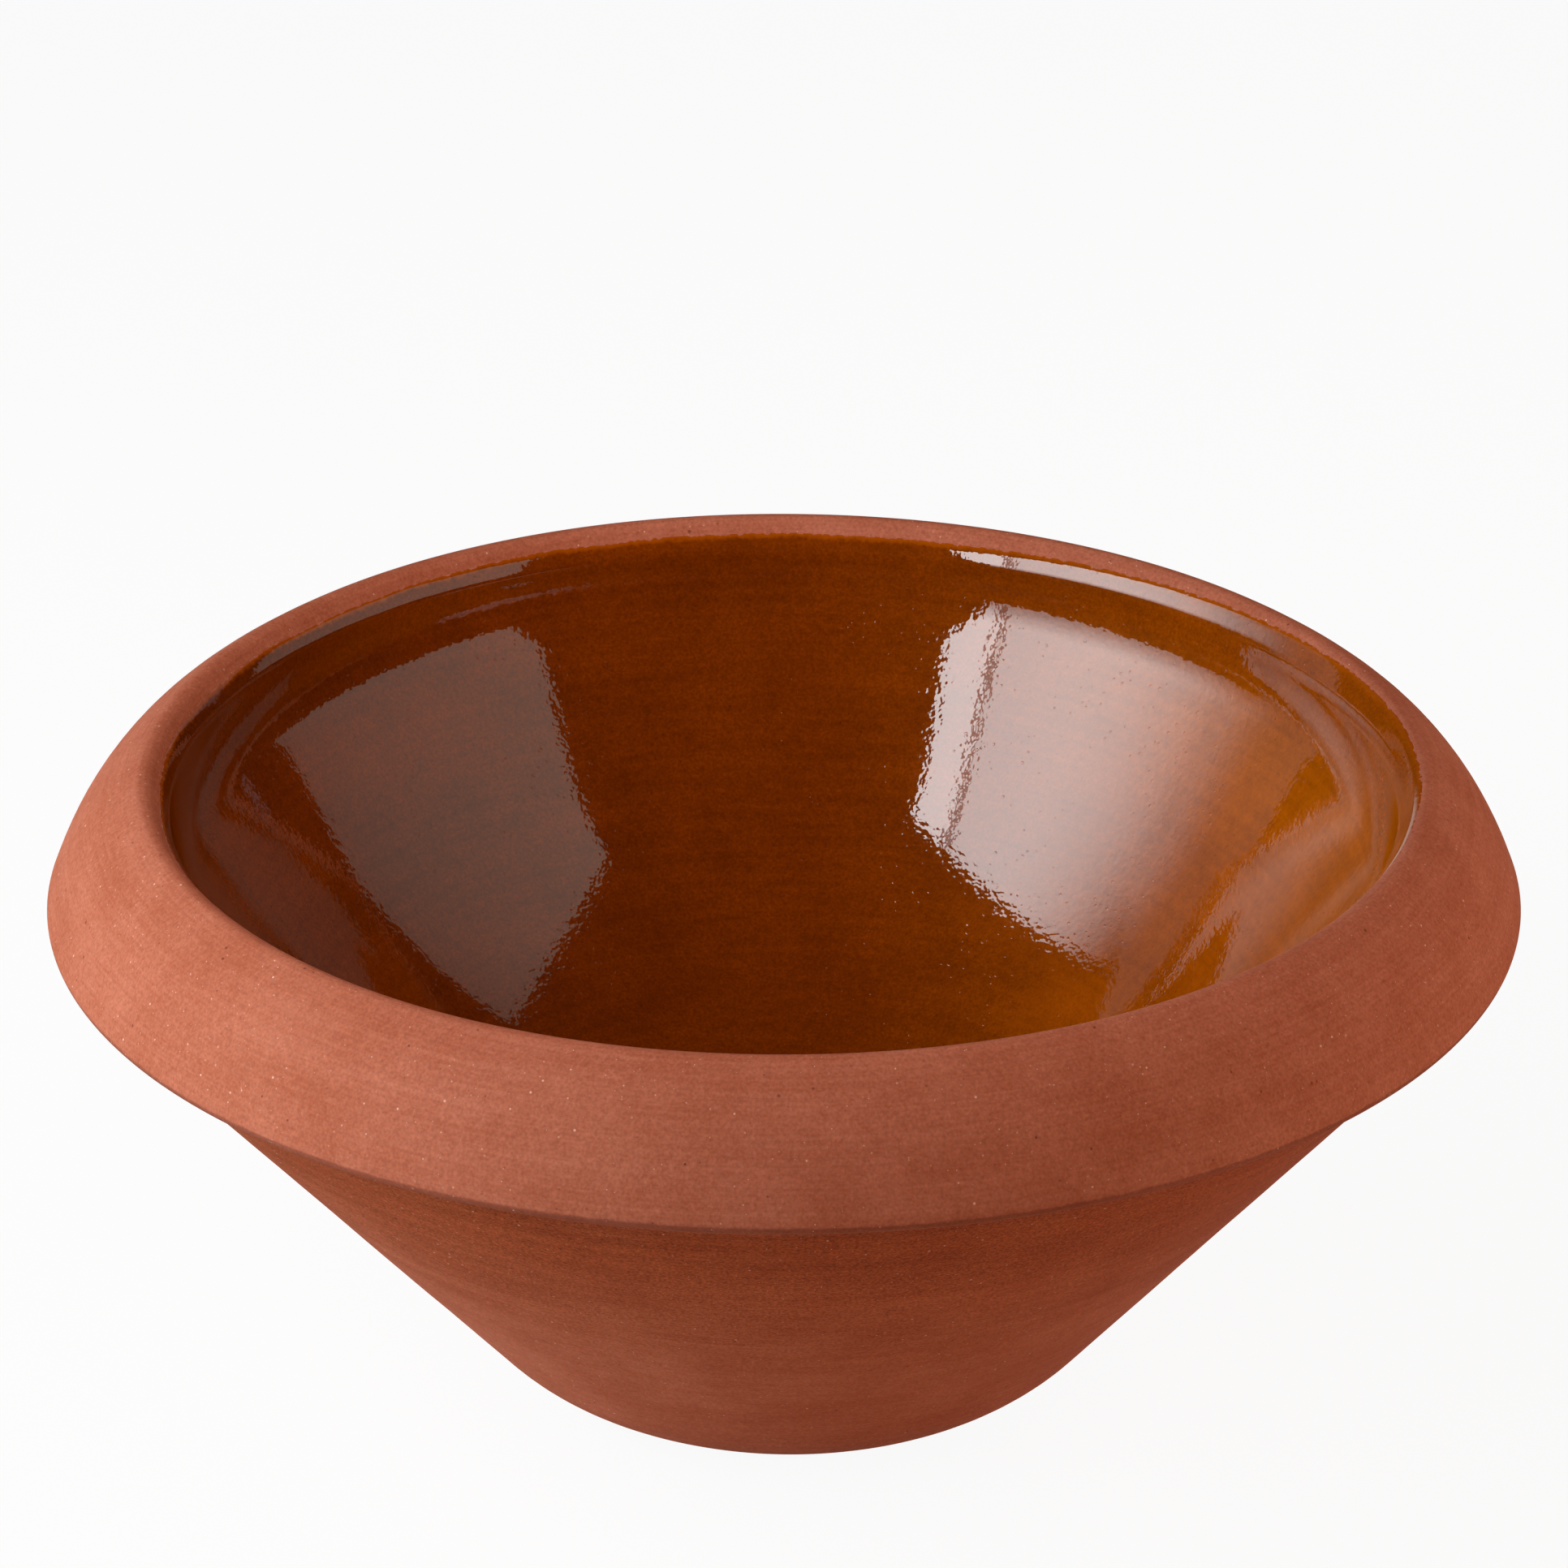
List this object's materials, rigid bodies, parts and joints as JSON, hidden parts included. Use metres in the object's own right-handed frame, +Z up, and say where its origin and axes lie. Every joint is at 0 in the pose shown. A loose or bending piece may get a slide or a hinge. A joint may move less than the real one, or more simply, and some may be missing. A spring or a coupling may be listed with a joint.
{
  "type": "terracotta mixing bowl",
  "caption": "Heavy turned terracotta mixing bowl: conical wall, broad overhanging collar, small rounded foot, brown gloss glaze inside.",
  "frame": {"origin": "centre of the flat foot, on the table that the bowl stands on", "axes": "+Z up along the axis that the bowl was turned about; -Y towards the viewer of the picture; +X to the viewer's right"},
  "size_m": [0.265, 0.265, 0.1162],
  "materials": {
    "clay": "matt unglazed red clay with fine turning lines",
    "glaze": "gloss, honey-brown transparent glaze with fine orange peel and pinholes"
  },
  "bodies": {
    "root": {"bowl": "clay"}
  },
  "joints": []
}
